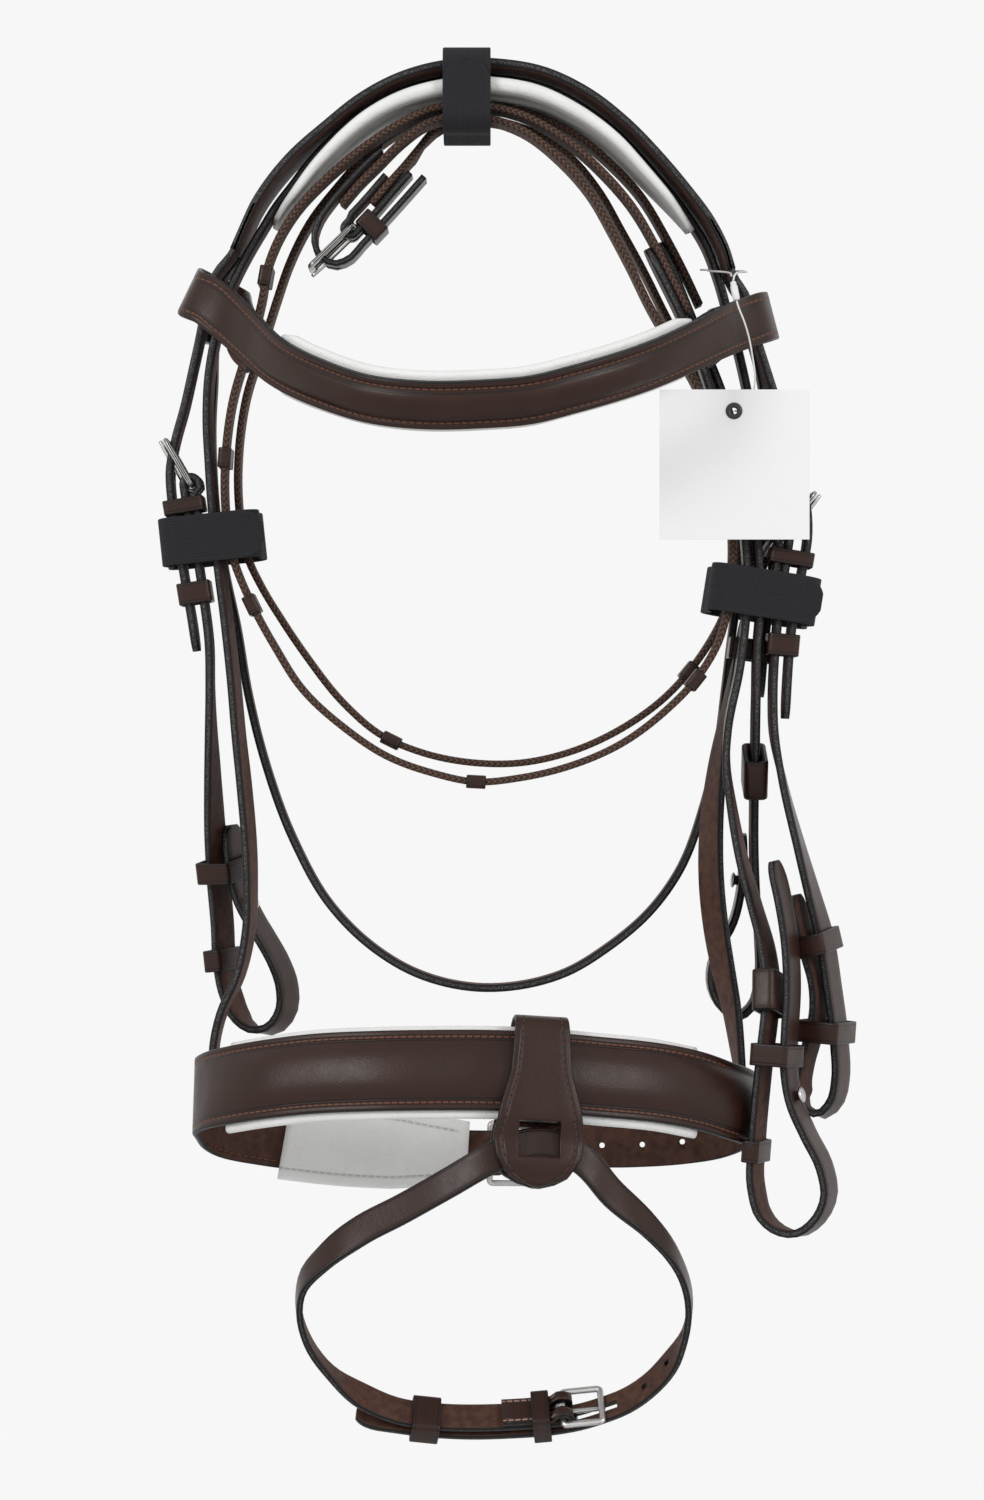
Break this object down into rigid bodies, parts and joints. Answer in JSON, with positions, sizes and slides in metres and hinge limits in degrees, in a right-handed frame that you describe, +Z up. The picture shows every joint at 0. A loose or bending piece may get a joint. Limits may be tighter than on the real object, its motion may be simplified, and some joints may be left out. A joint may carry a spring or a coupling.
{
  "type": "horse bridle",
  "caption": "Snaffle bridle in dark leather with a padded browband, a padded flash noseband and web reins, stored hanging and held folded by ties.",
  "frame": {"origin": "the underside of the top tie, in the middle of the poll, where the bridle rests on its hook", "axes": "+X to the right and +Z up as seen from the front, +Y away from the front towards the wall"},
  "size_m": [0.3056, 0.1453, 0.599],
  "materials": {
    "leather": "dark brown leather, burnished edges",
    "lining": "white padding",
    "web": "woven brown web",
    "steel": "brushed",
    "tie": "black hook and loop",
    "card": "plain white card",
    "string": "white"
  },
  "bodies": {
    "bridle": {"crown_strap": "leather", "sliphead_strap": "leather", "cheekpiece_left": "leather", "cheekpiece_right": "leather", "throatlatch": "leather", "noseband_hanger": "leather", "browband": "leather", "noseband": "leather", "noseband_billet": "leather", "noseband_chape": "leather", "flash_tab": "leather", "rein_hand_billet": "leather", "rein_hand_chape": "leather", "rein_end_front": "leather", "rein_end_back": "leather", "cheek_left_fixed_keeper": "leather", "cheek_right_fixed_keeper": "leather", "throat_keeper": "leather", "cheek_left_upper_keeper": "leather", "cheek_left_lower_keeper": "leather", "cheek_right_upper_keeper": "leather", "cheek_right_lower_keeper": "leather", "rein_upper_keeper": "leather", "rein_lower_keeper": "leather", "martingale_stop_back": "leather", "martingale_stop_front": "leather", "rein_hand_keeper": "leather", "crown_padding": "lining", "browband_lining": "lining", "noseband_lining_front": "lining", "noseband_lining_rear": "lining", "rein_web_front": "web", "rein_web_back": "web", "cheek_left_buckle_frame": "steel", "cheek_right_buckle_frame": "steel", "sliphead_buckle_frame": "steel", "throat_buckle_frame": "steel", "rein_buckle_frame": "steel", "noseband_buckle_frame": "steel", "left_tie": "tie", "right_tie": "tie", "top_tie": "tie", "tag_fastener": "string"},
    "cheek_left_tongue": {"cheek_left_buckle_tongue": "steel"},
    "cheek_right_tongue": {"cheek_right_buckle_tongue": "steel"},
    "sliphead_tongue": {"sliphead_buckle_tongue": "steel"},
    "throat_tongue": {"throat_buckle_tongue": "steel"},
    "rein_tongue": {"rein_buckle_tongue": "steel"},
    "noseband_tongue": {"noseband_buckle_tongue": "steel"},
    "flash_tongue": {"flash_buckle_tongue": "steel"},
    "cheek_left_slider": {"cheek_left_sliding_keeper": "leather"},
    "cheek_right_slider": {"cheek_right_sliding_keeper": "leather"},
    "sliphead_slider": {"sliphead_keeper": "leather"},
    "flash_slider": {"flash_sliding_keeper": "leather"},
    "flash": {"flash_strap": "leather", "flash_buckle_frame": "steel", "flash_fixed_keeper": "leather"},
    "tag": {"tag_card": "card", "tag_eyelet": "tie", "tag_string": "string"}
  },
  "joints": [
    {"name": "cheek_left_tongue_turn", "type": "hinge", "parent": "bridle", "child": "cheek_left_tongue", "pos_m": [-0.12011, -0.01085, -0.15488], "axis": [0, -1, 0], "range_deg": [0, 8]},
    {"name": "cheek_right_tongue_turn", "type": "hinge", "parent": "bridle", "child": "cheek_right_tongue", "pos_m": [0.13777, -0.01085, -0.17619], "axis": [0, 1, 0], "range_deg": [0, 8]},
    {"name": "sliphead_tongue_turn", "type": "hinge", "parent": "bridle", "child": "sliphead_tongue", "pos_m": [0.12773, 0.01085, -0.18817], "axis": [0, 1, 0], "range_deg": [0, 8]},
    {"name": "throat_tongue_turn", "type": "hinge", "parent": "bridle", "child": "throat_tongue", "pos_m": [0.12485, 0.0308, -0.16932], "axis": [0, 1, 0], "range_deg": [0, 8]},
    {"name": "rein_tongue_turn", "type": "hinge", "parent": "bridle", "child": "rein_tongue", "pos_m": [-0.05086, -0.00745, -0.0432], "axis": [0, -1, 0], "range_deg": [0, 8]},
    {"name": "noseband_tongue_turn", "type": "hinge", "parent": "bridle", "child": "noseband_tongue", "pos_m": [0.0101, 0.03153, -0.45138], "axis": [0.0131, 0.1005, 0.9948], "range_deg": [0, 8]},
    {"name": "flash_tongue_turn", "type": "hinge", "parent": "flash", "child": "flash_tongue", "pos_m": [0.04104, -0.05387, -0.55071], "axis": [-0.061, 0.7233, 0.6878], "range_deg": [0, 8]},
    {"name": "cheek_left_keeper_slide", "type": "slide", "parent": "bridle", "child": "cheek_left_slider", "axis": [0.1563, 0, -0.9877], "range_m": [-0.004, 0.004]},
    {"name": "cheek_right_keeper_slide", "type": "slide", "parent": "bridle", "child": "cheek_right_slider", "axis": [-0.0903, 0, -0.9959], "range_m": [-0.003, 0.005]},
    {"name": "sliphead_keeper_slide", "type": "slide", "parent": "bridle", "child": "sliphead_slider", "axis": [-0.1367, 0, -0.9906], "range_m": [-0.003, 0.003]},
    {"name": "flash_keeper_slide", "type": "slide", "parent": "flash", "child": "flash_slider", "axis": [0.9895, 0.0816, -0.1197], "range_m": [-0.004, 0.005]},
    {"name": "flash_strap_swing", "type": "hinge", "parent": "bridle", "child": "flash", "pos_m": [0.02995, -0.08354, -0.43413], "axis": [1, 0, 0], "range_deg": [-2.5, 4]},
    {"name": "tag_swing", "type": "hinge", "parent": "bridle", "child": "tag", "pos_m": [0.1159, -0.0405, -0.07795], "axis": [-1, 0, 0], "range_deg": [0, 30]}
  ]
}
